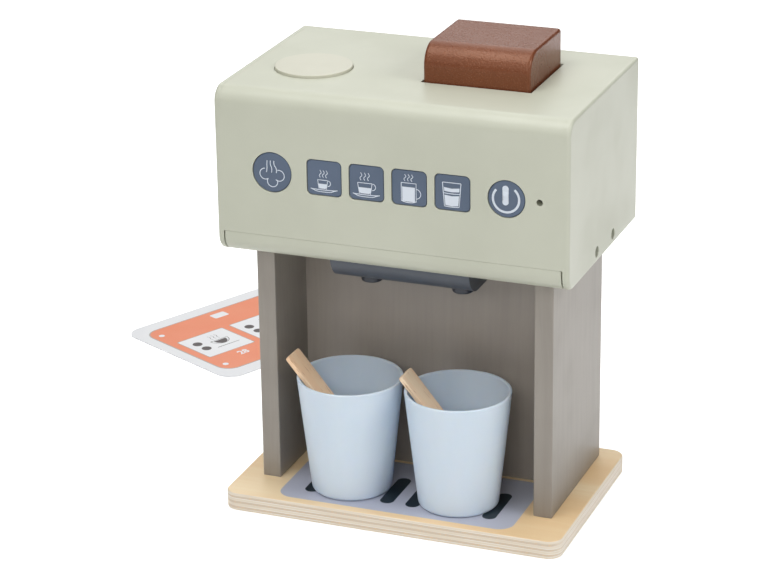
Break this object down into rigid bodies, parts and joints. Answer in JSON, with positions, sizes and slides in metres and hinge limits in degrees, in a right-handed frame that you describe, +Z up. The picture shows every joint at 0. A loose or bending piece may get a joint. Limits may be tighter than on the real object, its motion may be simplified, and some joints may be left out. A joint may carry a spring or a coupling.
{
  "type": "toy coffee maker",
  "caption": "Toy coffee maker of painted boards with push buttons, a spout bar over a tray, lift-out hopper block, cups, stirrers and an order card.",
  "frame": {"origin": "middle of the base board's underside, on the table", "axes": "+X to the right as the player faces the machine, +Y to the back, +Z up"},
  "size_m": [0.4087, 0.3924, 0.2985],
  "materials": {
    "birch_plywood": "clear satin lacquer over birch plywood",
    "tray_print": "printed matt sheet",
    "slot_print": "printed matt, dark",
    "taupe_paint": "satin paint on solid board",
    "sage_paint": "satin paint on board",
    "cream_paint": "satin paint on wood",
    "beech": "bare smooth beech",
    "raw_board": "bare fibreboard",
    "screw_steel": "blackened steel screws",
    "spring_steel": "bright spring steel",
    "slate_paint": "satin paint on wood",
    "dark_paint": "satin paint on wood",
    "button_blue": "satin paint on wood, light printed symbols",
    "brown_paint": "satin paint on wood",
    "foam": "soft open-cell foam",
    "cup_blue": "smooth matt plastic",
    "card_stock": "coated card, printed"
  },
  "bodies": {
    "machine": {"back_panel": "taupe_paint", "base_board": "birch_plywood", "base_screws": "screw_steel", "button_backing_board": "raw_board", "button_foam_pads": "foam", "drip_tray_sheet": "tray_print", "drip_tray_slots": "slot_print", "front_panel_dowels": "beech", "hopper_well_floor": "raw_board", "hopper_well_frame": "raw_board", "housing_bottom_board": "sage_paint", "housing_front_panel": "sage_paint", "housing_left_side": "sage_paint", "housing_rear_panel": "sage_paint", "housing_right_side": "sage_paint", "housing_top_board": "sage_paint", "left_leg": "taupe_paint", "left_nozzle": "dark_paint", "leg_top_screws": "screw_steel", "rear_screws": "screw_steel", "right_leg": "taupe_paint", "right_nozzle": "dark_paint", "side_screws": "screw_steel", "spout_bar": "slate_paint", "spout_screws": "screw_steel", "top_button_bridge": "raw_board", "top_button_spring": "spring_steel"},
    "steam_button": {"steam_button": "button_blue", "steam_button_retainer": "raw_board"},
    "small_cup_button": {"small_cup_button": "button_blue", "small_cup_button_retainer": "raw_board"},
    "large_cup_button": {"large_cup_button": "button_blue", "large_cup_button_retainer": "raw_board"},
    "mug_button": {"mug_button": "button_blue", "mug_button_retainer": "raw_board"},
    "glass_button": {"glass_button": "button_blue", "glass_button_retainer": "raw_board"},
    "power_button": {"power_button": "button_blue", "power_button_retainer": "raw_board"},
    "top_button": {"top_button": "cream_paint", "top_button_retainer": "raw_board"},
    "hopper": {"hopper_block": "brown_paint"},
    "left_cup": {"left_cup": "cup_blue"},
    "right_cup": {"right_cup": "cup_blue"},
    "left_stirrer": {"left_stirrer": "beech"},
    "right_stirrer": {"right_stirrer": "beech"},
    "order_card": {"order_card": "card_stock"}
  },
  "joints": [
    {"name": "steam_button_press", "type": "slide", "parent": "machine", "child": "steam_button", "axis": [0, 1, 0], "range_m": [0, 0.002], "stiffness_N_per_m": 250, "springref_m": -0.002, "deforming": ["button_foam_pads"]},
    {"name": "small_cup_button_press", "type": "slide", "parent": "machine", "child": "small_cup_button", "axis": [0, 1, 0], "range_m": [0, 0.002], "stiffness_N_per_m": 250, "springref_m": -0.002, "deforming": ["button_foam_pads"]},
    {"name": "large_cup_button_press", "type": "slide", "parent": "machine", "child": "large_cup_button", "axis": [0, 1, 0], "range_m": [0, 0.002], "stiffness_N_per_m": 250, "springref_m": -0.002, "deforming": ["button_foam_pads"]},
    {"name": "mug_button_press", "type": "slide", "parent": "machine", "child": "mug_button", "axis": [0, 1, 0], "range_m": [0, 0.002], "stiffness_N_per_m": 250, "springref_m": -0.002, "deforming": ["button_foam_pads"]},
    {"name": "glass_button_press", "type": "slide", "parent": "machine", "child": "glass_button", "axis": [0, 1, 0], "range_m": [0, 0.002], "stiffness_N_per_m": 250, "springref_m": -0.002, "deforming": ["button_foam_pads"]},
    {"name": "power_button_press", "type": "slide", "parent": "machine", "child": "power_button", "axis": [0, 1, 0], "range_m": [0, 0.002], "stiffness_N_per_m": 250, "springref_m": -0.002, "deforming": ["button_foam_pads"]},
    {"name": "top_button_press", "type": "slide", "parent": "machine", "child": "top_button", "axis": [0, 0, -1], "range_m": [0, 0.0018], "stiffness_N_per_m": 500, "springref_m": -0.002, "deforming": ["top_button_spring"]},
    {"name": "hopper_lift", "type": "slide", "parent": "machine", "child": "hopper", "axis": [0, 0, 1], "range_m": [0, 0.032]},
    {"name": "left_cup_take_out", "type": "slide", "parent": "machine", "child": "left_cup", "axis": [0, -0.866, 0.5], "range_m": [0, 0.082]},
    {"name": "right_cup_take_out", "type": "slide", "parent": "machine", "child": "right_cup", "axis": [0, -0.866, 0.5], "range_m": [0, 0.082]},
    {"name": "left_stirrer_lift", "type": "slide", "parent": "left_cup", "child": "left_stirrer", "axis": [0, 0, 1], "range_m": [0, 0.066]},
    {"name": "right_stirrer_lift", "type": "slide", "parent": "right_cup", "child": "right_stirrer", "axis": [-0.1201, -0.2502, 0.9607], "range_m": [0, 0.072]},
    {"name": "order_card_lift", "type": "slide", "parent": "machine", "child": "order_card", "axis": [0, 0, 1], "range_m": [0, 0.06]}
  ]
}
